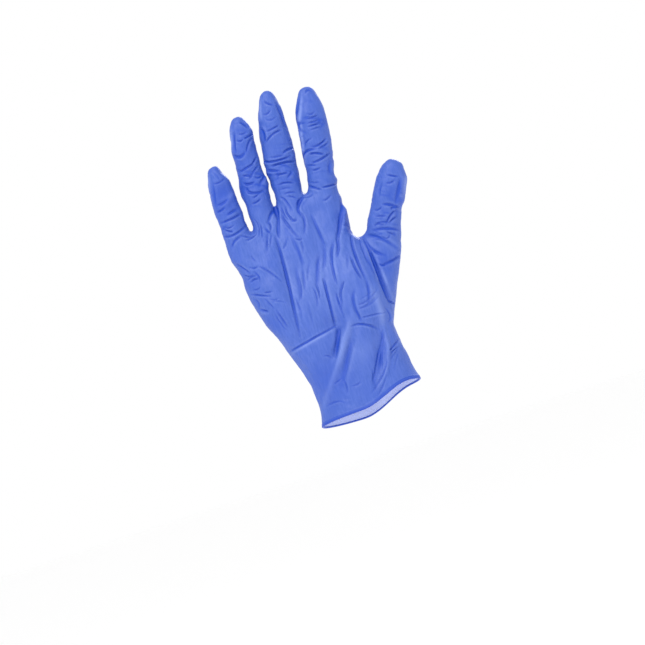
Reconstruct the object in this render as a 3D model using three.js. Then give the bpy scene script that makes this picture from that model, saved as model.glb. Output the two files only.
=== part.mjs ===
// A nitrile examination glove in the shape that it takes on a hand, open at the cuff.
// Millimetres. +Z runs up the hand to the fingertips, +X across it to the thumb, and -Y is the palm's side.
// The origin is the centre of the cuff's opening.
//
// The film is one closed solid. Tubes of rings make its outer skin: a lower tube from the cuff to the thumb's
// web, an upper tube from there to the finger webs, and a stall for the thumb and each finger. Tubes share
// their corners at the webs. The inner skin is the outer one moved in by the wall, and the rolled bead joins
// the two round the opening.
import * as THREE from "three";

// Driving sizes.
const WALL = 1.0; // film, thicker than the real 0.1 mm so that it is a workable solid
const BEAD_RADIUS = 0.95; // rolled edge
const PALM_LENGTH = 160; // cuff's opening to the web between the middle and index fingers
const CUFF_WIDTH = 79; // across the opening
const CUFF_DEPTH = 42; // front to back at the opening
const WRIST_WIDTH = 75; // where the tube is narrowest
const PALM_DEPTH = 30; // front to back at the middle of the palm
const PALM_SHIFT = 20.3; // how far the fingers' middle lies to the little finger's side of the opening's
const THUMB_HEIGHT = 106; // middle of the thumb's root above the opening
const THUMB_WEB_HEIGHT = 118; // web beside the thumb above the opening
const THUMB_GAP = 3.1; // between the palm's side and the thumb's root
const FINGER_GAP = 1.4; // between two fingers at their web
const WEB_DROP = 5; // how far a web falls from its middle to the front and back of the hand
const RIM_RISE = 12; // how far the opening rises from the little finger's side to the thumb's
const RIM_BACK_DROP = 6; // how far its back edge hangs below its front one
const FOLD_DEPTH = 2.3; // a plain fold of the film
const FOLD_REACH = 5; // from a fold's line to its edge

// Fingers from the little one to the index, then the thumb. Sizes in mm and angles in degrees: the stall's
// width and depth, its length from the web line, its lean towards the thumb, bow as the sideways sag of its
// middle, and forward and curl as how far its root and its tip lie towards the palm's side.
const FINGERS = {
  little: { width: 19.8, depth: 17.0, length: 58.7, lean: -1.5, bow: 0.0, forward: 1.5, curl: 6 },
  ring: { width: 19.6, depth: 17.6, length: 78.5, lean: 3.0, bow: -1.1, forward: 0.5, curl: 6 },
  middle: { width: 23.0, depth: 18.6, length: 83.0, lean: 4.9, bow: -1.4, forward: 0.0, curl: 5 },
  index: { width: 22.6, depth: 18.4, length: 79.0, lean: 8.0, bow: 1.1, forward: 0.5, curl: 6 },
  thumb: { width: 23.2, depth: 20.5, length: 65.0, lean: 27.0, bow: -0.8, forward: 5.0, curl: 8 },
};

// Sections up a stall. up is a share of its length, the finger names hold shares of its width, and front and
// back are shares of its half depth.
const STALL_SECTIONS = [
  { up: 0.0, little: 1.04, ring: 1.1, middle: 0.98, index: 1.0, thumb: 1.27, front: 1.0, back: 1.08 },
  { up: 0.16, little: 1.0, ring: 1.0, middle: 0.965, index: 0.89, thumb: 1.16, front: 1.04, back: 0.98 },
  { up: 0.32, little: 0.97, ring: 1.08, middle: 1.035, index: 1.0, thumb: 1.05, front: 0.98, back: 0.98 },
  { up: 0.46, little: 1.0, ring: 1.01, middle: 1.055, index: 1.02, thumb: 1.0, front: 0.92, back: 1.03 },
  { up: 0.62, little: 0.94, ring: 0.95, middle: 0.97, index: 0.99, thumb: 1.03, front: 1.0, back: 0.9 },
  { up: 0.78, little: 0.79, ring: 0.92, middle: 0.86, index: 0.95, thumb: 0.96, front: 0.9, back: 0.82 },
  { up: 0.89, little: 0.57, ring: 0.755, middle: 0.63, index: 0.76, thumb: 0.77, front: 0.72, back: 0.66 },
];
const STALL_ROWS = [3, 2, 2, 2, 2, 2]; // rows of faces from each of them up to the next
const DOME_SHARE = 0.7; // size of the ring halfway up a fingertip's dome

// The web line from the little finger's outer side to the index finger's, as shares of the palm's length.
const WEB_HEIGHTS = [0.87, 0.912, 0.985, 1.0, 0.965];

// Rings of the lower tube above the rim. up is a share of the palm's length, tilt a share of the rim's slope,
// width and centre are shares of the wrist's width, and front and back are shares of the palm's depth. square
// is 0 on an oval ring and 1 on a boxy one.
const LOWER_SECTIONS = [
  { up: 0.045, tilt: 0.6, width: 1.008, centre: 0.008, front: 0.68, back: 0.66, square: 0.1, rows: 3 },
  { up: 0.14, tilt: 0.3, width: 0.992, centre: -0.011, front: 0.66, back: 0.62, square: 0.2, rows: 3 },
  { up: 0.25, tilt: 0.1, width: 1.003, centre: -0.048, front: 0.66, back: 0.56, square: 0.3, rows: 2 },
  { up: 0.32, tilt: 0.0, width: 1.06, centre: -0.08, front: 0.68, back: 0.52, square: 0.4, rows: 2 },
  { up: 0.39, tilt: 0.0, width: 1.165, centre: -0.075, front: 0.71, back: 0.49, square: 0.5, rows: 3 },
  { up: 0.485, tilt: 0.0, width: 1.343, centre: -0.066, front: 0.7, back: 0.45, square: 0.5, rows: 2 },
  { up: 0.575, tilt: 0.0, width: 1.493, centre: -0.053, front: 0.66, back: 0.43, square: 0.5, rows: 3 },
];
const RIM_ROWS = 1; // rows of faces from the rim to the first of them

// Where the rim climbs, as shares of the opening's width to either side of its middle, and the share of the
// climb that lies below the origin.
const RIM_CLIMB = { from: -0.1, to: 0.42, below: 0.35 };

// Rings of the upper tube. level runs from 0 at the thumb's web to 1 at the finger webs, width and centre are
// shares of the knuckles' width, and front and back are shares of the palm's depth.
const UPPER_SECTIONS = [
  { level: 0.0, width: 0.96, centre: 0.025, front: 0.56, back: 0.42, square: 0.5, rows: 2 },
  { level: 0.34, width: 0.957, centre: 0.02, front: 0.5, back: 0.4, square: 0.5, rows: 3 },
  { level: 0.67, width: 0.973, centre: 0.017, front: 0.42, back: 0.37, square: 0.6, rows: 3 },
];
// Height of the upper tube's start at the little finger's side, as a share of the palm's length.
const PALM_SIDE_HEIGHT = 0.625;

// Folds, hollows and mounds. Each follows a line through three places, x in shares of the wrist's width and z
// in shares of the palm's length, on the front or the back. reach and depth are shares of a plain fold's, and
// a mound's depth is below zero.
const RELIEF = [
  { side: "front", x: [-0.29, -0.373, -0.447], z: [0.985, 0.73, 0.39], reach: 1.0, depth: 1.3 }, // ring web
  { side: "front", x: [0.032, 0.0, -0.09], z: [0.9, 0.7, 0.394], reach: 1.0, depth: 1.2 }, // mid palm
  { side: "front", x: [0.447, 0.46, 0.484], z: [0.72, 0.56, 0.41], reach: 1.1, depth: 1.5 }, // thumb web
  { side: "front", x: [-0.6, -0.35, -0.093], z: [0.337, 0.37, 0.386], reach: 0.9, depth: 1.0 }, // wrist
  { side: "front", x: [0.053, 0.17, 0.307], z: [0.362, 0.356, 0.306], reach: 0.9, depth: 1.0 }, // wrist
  { side: "front", x: [-0.08, -0.24, -0.44], z: [0.366, 0.22, 0.056], reach: 1.2, depth: 0.9 }, // cuff, outer
  { side: "front", x: [0.307, 0.25, 0.133], z: [0.306, 0.18, 0.056], reach: 1.2, depth: 0.9 }, // cuff, inner
  { side: "front", x: [-0.16, -0.12, -0.1], z: [0.66, 0.56, 0.46], reach: 3.6, depth: 1.4 }, // hollow
  { side: "front", x: [0.22, 0.25, 0.3], z: [0.62, 0.54, 0.46], reach: 2.6, depth: -1.4 }, // mound
  { side: "front", x: [-0.6, -0.6, -0.56], z: [0.62, 0.54, 0.46], reach: 2.4, depth: -1.0 }, // heel
  { side: "back", x: [-0.28, -0.24, -0.2], z: [0.92, 0.78, 0.62], reach: 1.5, depth: 0.7 }, // knuckles
  { side: "back", x: [0.02, 0.0, -0.02], z: [0.93, 0.79, 0.63], reach: 1.5, depth: 0.7 },
  { side: "back", x: [-0.58, -0.52, -0.45], z: [0.86, 0.74, 0.6], reach: 1.5, depth: 0.6 },
  { side: "back", x: [-0.42, -0.1, 0.24], z: [0.31, 0.34, 0.32], reach: 1.1, depth: 0.9 }, // wrist's back
  { side: "back", x: [0.1, 0.2, 0.24], z: [0.06, 0.18, 0.29], reach: 1.3, depth: 0.8 }, // cuff's back
  { side: "back", x: [-0.3, -0.26, -0.14], z: [0.05, 0.16, 0.29], reach: 1.3, depth: 0.8 },
];

const FRONT_PARTS = 4; // faces across the front of each stall, and across its back
const SIDE_PARTS = 4; // faces round each of its sides
const BEAD_PARTS = 6; // faces round the bead
const RING_STEPS = 240; // fine steps that half of an even ring is measured with
const BOX_PULL = 1.6; // how strongly square pulls a ring out towards a box
const FIRST_CORNER = (-3 / 4) * Math.PI; // angle of a ring's front left corner
const SOFT_REACH = 13; // how far from a web the skin is smoothed
const SOFT_PASSES = 7;

const { degToRad, lerp: mix, clamp, smoothstep } = THREE.MathUtils;
const range = (count) => Array.from({ length: count }, (_, i) => i);
const fingerNames = Object.keys(FINGERS).filter((name) => name !== "thumb");
const [rootSection] = STALL_SECTIONS;

// The outer skin, as quads of their four corners. A corner that two quads share is one vector.
const quads = [];

function addStrip(lower, upper) {
  lower.forEach((corner, i) => {
    const next = (i + 1) % lower.length;
    quads.push([corner, lower[next], upper[next], upper[i]]);
  });
}

// The four parts of a ring. It runs from the front left corner across the front, round the right side, across
// the back and round the left side. Each part holds both of its ends.
function partsOf(ring) {
  const across = ring.length / 2 - SIDE_PARTS;
  const closed = [...ring, ring[0]];
  return {
    front: closed.slice(0, across + 1),
    right: closed.slice(across, across + SIDE_PARTS + 1),
    back: closed.slice(across + SIDE_PARTS, 2 * across + SIDE_PARTS + 1),
    left: closed.slice(2 * across + SIDE_PARTS),
  };
}

const ringOf = ({ front, right, back, left }) => [
  ...front,
  ...right.slice(1, -1),
  ...back,
  ...left.slice(1, -1),
];

// Evenly spaced places on half a ring. shape gives the place at an angle.
function evenHalf(start, parts, shape) {
  const line = range(RING_STEPS + 1).map((i) => shape(start + (i / RING_STEPS) * Math.PI));
  const reached = [0];
  line.slice(1).forEach((place, i) => reached.push(reached[i] + place.distanceTo(line[i])));
  return range(parts).map((i) => {
    const wanted = (i / parts) * reached[RING_STEPS];
    const after = Math.max(1, reached.findIndex((length) => length >= wanted));
    const share = (wanted - reached[after - 1]) / (reached[after] - reached[after - 1]);
    return line[after - 1].clone().lerp(line[after], share);
  });
}

// A ring of the palm or the cuff: an oval, pulled out towards a box by square. height gives how high a place
// lies from its x and y, and from its share of the way across.
function tubeRing(frontParts, { centre, width, front, back, square }, height) {
  const power = 2 / (2 + BOX_PULL * square);
  const pulled = (value) => Math.sign(value) * Math.abs(value) ** power;
  const shape = (angle) => {
    const across = pulled(Math.cos(angle));
    const x = centre + (across * width) / 2;
    const y = pulled(Math.sin(angle)) * (Math.sin(angle) < 0 ? front : back);
    return new THREE.Vector3(x, y, height(x, y, (across + 1) / 2));
  };
  const half = frontParts + SIDE_PARTS;
  const fromLeft = [...evenHalf(-Math.PI, half, shape), ...evenHalf(0, half, shape)];
  const corner = SIDE_PARTS / 2;
  return [...fromLeft.slice(corner), ...fromLeft.slice(0, corner)];
}

// A place on a stall: up as a share of its length, and u and v as shares of a section's half width and depth.
function stallPlace(name, root, section, up, u, v) {
  const { width, depth, length, lean, bow, curl } = FINGERS[name];
  const axis = new THREE.Vector3(Math.sin(degToRad(lean)), 0, Math.cos(degToRad(lean)));
  const side = new THREE.Vector3(axis.z, 0, -axis.x);
  const sideways = bow * Math.sin(Math.PI * up) + (u * section[name] * width) / 2;
  const deep = (v * depth * (v < 0 ? section.front : section.back)) / 2;
  return root
    .clone()
    .addScaledVector(axis, up * length)
    .addScaledVector(side, sideways)
    .add(new THREE.Vector3(0, deep - curl * up ** 2, 0));
}

const stallAngles = range(2 * (FRONT_PARTS + SIDE_PARTS)).map(
  (i, _, { length }) => FIRST_CORNER + (i / length) * 2 * Math.PI,
);

const stallRing = (name, root, section) =>
  stallAngles.map((angle) =>
    stallPlace(name, root, section, section.up, Math.cos(angle), Math.sin(angle)),
  );

// Runs lines on from each other, where each starts at the corner that ends the one before.
const chained = (lines) => lines.flatMap((line, i) => (i === 0 ? line : line.slice(1)));

// Joins rings that stand side by side. Two neighbours share the web between them, which lies halfway between
// their facing sides and rises to the given height at its middle. Returns the rings and their common outline.
function joinRings(rings, webHeights) {
  const joined = rings.map(partsOf);
  joined.slice(1).forEach((own, i) => {
    const before = joined[i];
    const web = before.right.map((corner, j) => {
      const middle = corner.clone().lerp(own.left[SIDE_PARTS - j], 0.5);
      const side = (j / SIDE_PARTS) * 2 - 1;
      return middle.setZ(webHeights[i] - WEB_DROP * side ** 2);
    });
    const [first, last] = [web[0], web[SIDE_PARTS]];
    before.right = web;
    before.front = [...before.front.slice(0, -1), first];
    before.back = [last, ...before.back.slice(1)];
    own.left = [...web].reverse();
    own.front = [first, ...own.front.slice(1)];
    own.back = [...own.back.slice(0, -1), last];
  });
  const outline = ringOf({
    front: chained(joined.map(({ front }) => front)),
    right: joined.at(-1).right,
    back: chained([...joined].reverse().map(({ back }) => back)),
    left: joined[0].left,
  });
  return { rings: joined.map(ringOf), outline, webs: joined.slice(1).flatMap(({ left }) => left) };
}

// The finger roots side by side, at the height of the web line.
function fingerRoots() {
  const rootWidths = fingerNames.map((name) => FINGERS[name].width * rootSection[name]);
  const knuckles = rootWidths.reduce((sum, width) => sum + width + FINGER_GAP, -FINGER_GAP);
  let left = -PALM_SHIFT - knuckles / 2;
  const roots = fingerNames.map((name, i) => {
    const webs = WEB_HEIGHTS.slice(i, i + 2).map((share) => share * PALM_LENGTH);
    const root = new THREE.Vector3(left + rootWidths[i] / 2, -FINGERS[name].forward, (webs[0] + webs[1]) / 2);
    left += rootWidths[i] + FINGER_GAP;
    const ring = stallRing(name, root, rootSection);
    ring.forEach((corner, j) => {
      corner.z = mix(...webs, (Math.cos(stallAngles[j]) + 1) / 2) - WEB_DROP;
    });
    return { name, root, ring };
  });
  return { roots, knuckles };
}

// Height of the web line, less the webs' drop, at a share of the way from the little finger to the index.
function webLine(share) {
  const place = share * (WEB_HEIGHTS.length - 1);
  const first = clamp(Math.floor(place), 0, WEB_HEIGHTS.length - 2);
  return mix(WEB_HEIGHTS[first], WEB_HEIGHTS[first + 1], place - first) * PALM_LENGTH - WEB_DROP;
}

// How high a rim place lies.
function rimHeight(x, y) {
  const climb = smoothstep(x / CUFF_WIDTH, RIM_CLIMB.from, RIM_CLIMB.to) - RIM_CLIMB.below;
  return RIM_RISE * climb - (RIM_BACK_DROP * y) / CUFF_DEPTH;
}

// The tubes' sections, from the fingers down.
const { roots: fingers, knuckles } = fingerRoots();
const fingerJoin = joinRings(
  fingers.map(({ ring }) => ring),
  WEB_HEIGHTS.slice(1, -1).map((share) => share * PALM_LENGTH),
);
const stallParts = FRONT_PARTS * fingers.length;

const [upperRoot, ...upperRings] = UPPER_SECTIONS.map((section) =>
  tubeRing(
    stallParts,
    {
      centre: section.centre * knuckles - PALM_SHIFT,
      width: section.width * knuckles,
      front: section.front * PALM_DEPTH,
      back: section.back * PALM_DEPTH,
      square: section.square,
    },
    (x, y, share) => {
      const thumbWeb = mix(PALM_SIDE_HEIGHT * PALM_LENGTH, THUMB_WEB_HEIGHT - WEB_DROP, share);
      return mix(thumbWeb, webLine(share), section.level);
    },
  ),
);

const thumbLean = degToRad(FINGERS.thumb.lean);
const thumbHalf = (FINGERS.thumb.width * rootSection.thumb * Math.cos(thumbLean)) / 2;
const palmEdge = Math.max(...upperRoot.map(({ x }) => x));
const thumbRoot = new THREE.Vector3(palmEdge + THUMB_GAP + thumbHalf, -FINGERS.thumb.forward, THUMB_HEIGHT);
const thumbJoin = joinRings([upperRoot, stallRing("thumb", thumbRoot, rootSection)], [THUMB_WEB_HEIGHT]);

const rim = tubeRing(
  stallParts + FRONT_PARTS,
  { centre: 0, width: CUFF_WIDTH, front: CUFF_DEPTH / 2, back: CUFF_DEPTH / 2, square: 0 },
  rimHeight,
);
const lowerRings = LOWER_SECTIONS.map((section) =>
  tubeRing(
    stallParts + FRONT_PARTS,
    {
      centre: section.centre * WRIST_WIDTH,
      width: section.width * WRIST_WIDTH,
      front: section.front * PALM_DEPTH,
      back: section.back * PALM_DEPTH,
      square: section.square,
    },
    (x, y) => section.up * PALM_LENGTH + section.tilt * rimHeight(x, y),
  ),
);

const stallRings = (name, root, ring) => [
  ring,
  ...STALL_SECTIONS.slice(1).map((section) => stallRing(name, root, section)),
];
const rowsOf = (sections) => sections.map(({ rows }) => rows);
const stalls = [
  ...fingers.map(({ name, root }, i) => ({ name, root, rings: stallRings(name, root, fingerJoin.rings[i]) })),
  { name: "thumb", root: thumbRoot, rings: stallRings("thumb", thumbRoot, thumbJoin.rings[1]) },
];
const tubes = [
  { rings: [rim, ...lowerRings, thumbJoin.outline], rows: [RIM_ROWS, ...rowsOf(LOWER_SECTIONS)] },
  { rings: [thumbJoin.rings[0], ...upperRings, fingerJoin.outline], rows: rowsOf(UPPER_SECTIONS) },
  ...stalls.map(({ rings }) => ({ rings, rows: STALL_ROWS })),
];

// The places just below and just above each corner that tubes share, so that a tube runs on from another.
const below = new Map();
const above = new Map();
tubes.forEach(({ rings }) => {
  rings[0].forEach((corner, i) => above.set(corner, rings[1][i]));
  rings.at(-1).forEach((corner, i) => below.set(corner, rings.at(-2)[i]));
});

// Adds a tube, with a smooth curve up each of its columns.
function addTube({ rings, rows }) {
  const columns = rings[0].map((first, i) => {
    const start = below.has(first) ? [below.get(first)] : [];
    const end = above.has(rings.at(-1)[i]) ? [above.get(rings.at(-1)[i])] : [];
    const line = [...start, ...rings.map((ring) => ring[i]), ...end];
    const curve = new THREE.CatmullRomCurve3(line, false, "centripetal");
    return (place) => curve.getPoint((place + start.length) / (line.length - 1));
  });
  const allRings = rows.flatMap((count, i) => [
    rings[i],
    ...range(count - 1).map((row) => columns.map((placeAt) => placeAt(i + (row + 1) / count))),
  ]);
  [...allRings.slice(1), rings.at(-1)].forEach((upper, i) => addStrip(allRings[i], upper));
}

// Closes a fingertip with a ring halfway up its dome and a grid of faces over the rest.
function addDome({ name, root, rings }) {
  const last = STALL_SECTIONS.at(-1);
  const place = (u, v) => stallPlace(name, root, last, mix(last.up, 1, Math.sqrt(1 - u * u - v * v)), u, v);
  const ring = stallAngles.map((angle) => place(DOME_SHARE * Math.cos(angle), DOME_SHARE * Math.sin(angle)));
  addStrip(rings.at(-1), ring);
  const { front, right, back, left } = partsOf(ring);
  const grid = range(SIDE_PARTS + 1).map((row) => {
    const v = (row / SIDE_PARTS) * 2 - 1;
    return range(FRONT_PARTS + 1).map((column) => {
      const u = (column / FRONT_PARTS) * 2 - 1;
      const wide = DOME_SHARE * u * Math.sqrt(1 - (v * v) / 2);
      return place(wide, DOME_SHARE * v * Math.sqrt(1 - (u * u) / 2));
    });
  });
  grid[0] = front;
  grid[SIDE_PARTS] = [...back].reverse();
  grid.forEach((line, row) => {
    line[0] = left[SIDE_PARTS - row];
    line[FRONT_PARTS] = right[row];
  });
  grid.slice(1).forEach((line, row) => {
    range(FRONT_PARTS).forEach((column) => {
      const under = grid[row];
      quads.push([under[column], under[column + 1], line[column + 1], line[column]]);
    });
  });
}

tubes.forEach(addTube);
stalls.forEach(addDome);
const corners = [...new Set(quads.flat())];
const numberOf = new Map(corners.map((corner, i) => [corner, i]));

// Smooths the skin round the webs.
function softenWebs() {
  const neighbours = corners.map(() => new Set());
  quads.forEach((quad) => {
    quad.forEach((corner, i) => {
      neighbours[numberOf.get(corner)].add(quad[(i + 1) % 4]).add(quad[(i + 3) % 4]);
    });
  });
  const webs = [...fingerJoin.webs, ...thumbJoin.webs].map((corner) => corner.clone());
  const weights = corners.map((corner) => {
    const nearest = Math.min(...webs.map((web) => web.distanceTo(corner)));
    return clamp(1 - nearest / SOFT_REACH, 0, 1);
  });
  range(SOFT_PASSES).forEach(() => {
    const targets = neighbours.map((near) => {
      const sum = [...near].reduce((total, corner) => total.add(corner), new THREE.Vector3());
      return sum.divideScalar(near.size);
    });
    corners.forEach((corner, i) => corner.lerp(targets[i], weights[i]));
  });
}

// Triangles of the skin, each quad split along its shorter diagonal.
function skinTriangles() {
  return quads.flatMap((quad) => {
    const [a, b, c, d] = quad.map((corner) => numberOf.get(corner));
    const along = quad[0].distanceTo(quad[2]) < quad[1].distanceTo(quad[3]);
    return along ? [a, b, c, a, c, d] : [a, b, d, b, c, d];
  });
}

function skinNormals(triangles) {
  const skin = new THREE.BufferGeometry().setFromPoints(corners).setIndex(triangles);
  skin.computeVertexNormals();
  const normals = skin.getAttribute("normal");
  return corners.map((_, i) => new THREE.Vector3().fromBufferAttribute(normals, i));
}

// Presses the folds and hollows into the skin, and raises its mounds.
function addRelief() {
  const normals = skinNormals(skinTriangles());
  const lines = RELIEF.map(({ side, x, z, reach, depth }) => {
    const places = x.map((share, i) => new THREE.Vector3(share * WRIST_WIDTH, 0, z[i] * PALM_LENGTH));
    return {
      facing: side === "front" ? -1 : 1,
      segments: [new THREE.Line3(places[0], places[1]), new THREE.Line3(places[1], places[2])],
      reach: reach * FOLD_REACH,
      depth: depth * FOLD_DEPTH,
    };
  });
  const nearest = new THREE.Vector3();
  const pushes = corners.map((corner, i) => {
    const flat = corner.clone().setY(0);
    return lines.reduce((sum, { facing, segments, reach, depth }) => {
      const away = Math.min(
        ...segments.map((line) => line.closestPointToPoint(flat, true, nearest).distanceTo(flat)),
      );
      return sum + depth * Math.exp(-((away / reach) ** 2)) * clamp(facing * normals[i].y, 0, 1);
    }, 0);
  });
  corners.forEach((corner, i) => corner.addScaledVector(normals[i], -pushes[i]));
}

// Rings round the bead, from the outer skin's edge to the inner one's.
function beadRings(normals, inner) {
  const start = Math.asin(WALL / 2 / BEAD_RADIUS);
  const sweep = 2 * Math.PI - 2 * start;
  const frames = rim.map((corner) => {
    const i = numberOf.get(corner);
    const up = above.get(corner).clone().sub(corner);
    up.addScaledVector(normals[i], -up.dot(normals[i])).normalize();
    const centre = corner.clone().lerp(inner[i], 0.5).addScaledVector(up, -BEAD_RADIUS * Math.cos(start));
    return { centre, up, out: normals[i] };
  });
  return range(BEAD_PARTS - 1).map((row) => {
    const angle = start + (sweep * (row + 1)) / BEAD_PARTS;
    return frames.map(({ centre, up, out }) =>
      centre
        .clone()
        .addScaledVector(up, BEAD_RADIUS * Math.cos(angle))
        .addScaledVector(out, BEAD_RADIUS * Math.sin(angle)),
    );
  });
}

function gloveGeometry() {
  const triangles = skinTriangles();
  const normals = skinNormals(triangles);
  const inner = corners.map((corner, i) => corner.clone().addScaledVector(normals[i], -WALL));
  const bead = beadRings(normals, inner);
  const places = [...corners, ...inner, ...bead.flat()];
  const index = [...triangles, ...[...triangles].reverse().map((i) => i + corners.length)];
  const outerEdge = rim.map((corner) => numberOf.get(corner));
  const innerEdge = outerEdge.map((i) => i + corners.length);
  const beadEdges = bead.map((ring, row) => ring.map((_, i) => 2 * corners.length + row * ring.length + i));
  const edges = [outerEdge, ...beadEdges, innerEdge];
  edges.slice(1).forEach((lower, row) => {
    lower.forEach((_, i) => {
      const next = (i + 1) % lower.length;
      const upper = edges[row];
      index.push(lower[i], lower[next], upper[next], lower[i], upper[next], upper[i]);
    });
  });
  const geometry = new THREE.BufferGeometry().setFromPoints(places).setIndex(index);
  geometry.computeVertexNormals();
  return geometry;
}

softenWebs();
addRelief();

const nitrile = new THREE.MeshStandardMaterial({ color: "#4a62c8", roughness: 0.5 });
const film = new THREE.Mesh(gloveGeometry(), nitrile);
film.name = "glove";
const glove = new THREE.Group();
glove.name = "nitrile_exam_glove";
glove.add(film);

export default glove;
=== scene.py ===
"""Looks of a nitrile examination glove in its worn shape, seen from the palm's side.

The film is one closed mesh made from the CAD solid: smoothed, then finer on its outer skin and finest at the
creases of the palm's side. Lengths in the tables are millimetres, x across the glove and z up it.
"""

import math

import bmesh
import bpy
import numpy as np
from mathutils import Matrix, Vector
from mathutils.bvhtree import BVHTree
from mathutils.kdtree import KDTree


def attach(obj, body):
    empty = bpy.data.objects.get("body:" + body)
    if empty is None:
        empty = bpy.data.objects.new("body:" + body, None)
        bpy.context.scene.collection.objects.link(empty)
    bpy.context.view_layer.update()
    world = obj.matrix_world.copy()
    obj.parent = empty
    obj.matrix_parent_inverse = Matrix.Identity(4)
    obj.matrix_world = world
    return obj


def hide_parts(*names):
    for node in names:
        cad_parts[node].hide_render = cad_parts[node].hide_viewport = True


MM = 0.001
WALL = 1.0 * MM
WELD = 0.001 * MM
BACKED = 0.45 * WALL  # how near to its expected place the other skin's vertex is
FAR = 1e9

# The photograph's view.
PIXEL = 0.73 * MM
PICTURE = 645
AIM = Vector((-15.8 * MM, 0.0, 67.4 * MM))
CHARTED_AIM = (-15.3, 67.5)  # the picture's middle on the chart that the tables below were drawn on
DISTANCE = 1.3
ELEVATION = math.radians(-4.0)
ROLL = math.radians(18.0)
SENSOR = 36.0

# The studio, in metres and watts. Each lamp has its place, its width and its power.
KEY_LAMP = ((-0.5, -1.5, 1.5), 0.7, 21.0)
BACK_LAMP = ((0.9, 1.5, 1.2), 0.7, 20.0)
FLOOR_SIZE = 60.0
FLOOR_HEIGHT = -0.35

# Colours and finish of the film and the floor.
OUTER_COLOR = (0.055, 0.12, 0.5)
OUTER_ROUGHNESS = 0.52
OUTER_SPECULAR = 0.4
EDGE_ROUGHNESS = 0.5
FLOOR_ROUGHNESS = 0.9
INNER_COLOR = (0.42, 0.48, 0.8)
BEAD_COLOR = (0.006, 0.052, 0.42)
PLAIN_COLORS = ((0.036, 0.09, 0.41), (0.074, 0.14, 0.5))
STREAKED_COLORS = ((0.004, 0.06, 0.35), (0.098, 0.163, 0.57))
# Painted highlight colour, mixed in where ridges and crease lips catch the lamp and where patches of painted
# light lie.
PAINTED_HIGHLIGHT_COLOR = (0.24, 0.33, 0.7)
# Painted shade colour for creases, wrinkles and shaded patches; it also gives the rolled film beside the
# bead its deeper blue and the streaks their darker tone.
PAINTED_SHADE_AND_DEEP_FILM_COLOR = (0.008, 0.056, 0.43)
FLOOR_COLOR = (0.99, 0.99, 0.99)

# Fine textures of the film: each one's scale, its detail, and the strength and height of its tilt.
STREAKS = (900.0, 2.0, 0.4, 0.3 * MM)
CRACKLE = (330.0, 3.0, 0.5, 0.3 * MM)
GRAIN = (1500.0, 4.0, 0.2, 0.15 * MM)
CLOUD = (45.0, 3.0)
STREAK_STRETCH = (1.0, 0.5, 0.16)  # fine streaks of the film's colour run up the glove

# Fingers: root x, root z, lean towards the thumb in degrees, length, half width, and where their two joints
# lie as shares of the length.
FINGERS = {
    "little": (-54.6, 142.6, -1.5, 58.7, 9.9, (0.28, 0.76)),
    "ring": (-32.8, 151.8, 3.0, 78.5, 9.8, (0.36, 0.74)),
    "middle": (-9.6, 158.8, 4.9, 83.0, 11.5, (0.31, 0.61)),
    "index": (14.6, 157.2, 8.0, 79.0, 11.3, (0.33, 0.66)),
    "thumb": (46.0, 106.0, 27.0, 65.5, 11.6, (0.1, 0.42)),
}

# Small shifts of the whole film: the place, the shift across and up, and its reach.
SHIFTS = (
    ((-42.5, 150.0), (1.4, 0.0), 6.0),
    ((-44.0, 147.0), (0.0, -2.6), 3.6),
    ((-24.0, 176.0), (1.5, 0.0), 3.0),
    ((-24.0, 181.0), (1.3, 0.0), 3.0),
    ((-18.6, 173.0), (-1.1, 0.0), 4.0),
    ((-18.6, 182.0), (-1.3, 0.0), 4.0),
    ((-18.6, 191.0), (-0.9, 0.0), 4.0),
    ((-41.5, 172.0), (-1.4, 0.0), 4.0),
    ((-40.0, 207.0), (-0.6, 0.0), 5.0),
    ((-22.5, 217.0), (1.1, 0.0), 4.5),
    ((-64.5, 164.0), (-0.5, 0.0), 11.0),
    ((-58.0, 199.0), (0.0, -0.6), 5.0),
    ((-4.0, 238.0), (0.0, 0.7), 8.0),
    ((25.0, 231.0), (0.6, 0.9), 9.0),
    ((12.5, 214.0), (-0.9, 0.0), 8.0),
    ((2.5, 163.0), (-1.3, -1.2), 4.0),
    ((6.3, 170.0), (-0.8, 0.0), 4.0),
    ((2.8, 184.0), (-0.9, 0.0), 4.5),
    ((25.5, 163.5), (1.5, 0.0), 3.0),
    ((25.3, 149.5), (0.7, 0.0), 2.5),
    ((25.0, 141.0), (0.9, 0.0), 6.0),
    ((24.0, 128.0), (0.5, 0.0), 6.0),
    ((73.5, 160.0), (-1.2, -1.3), 6.0),
    ((67.0, 167.0), (0.0, -0.5), 5.0),
    ((61.5, 164.0), (-0.7, 0.3), 4.0),
    ((75.5, 148.5), (0.7, 0.0), 4.0),
    ((-48.5, 187.0), (0.8, 0.0), 7.0),
    ((-58.5, 200.0), (0.0, -0.5), 4.0),
    ((67.5, 134.5), (0.7, 0.0), 2.5),
    ((64.8, 129.3), (-0.9, 0.0), 2.4),
    ((40.5, 130.0), (-0.6, 0.0), 9.0),
    ((29.5, 117.5), (0.1, 0.3), 3.5),
    ((-60.5, 115.0), (0.8, 0.0), 3.0),
    ((-63.5, 129.0), (-0.6, 0.0), 4.0),
    ((34.0, 50.0), (-0.7, 0.0), 4.0),
)

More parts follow.
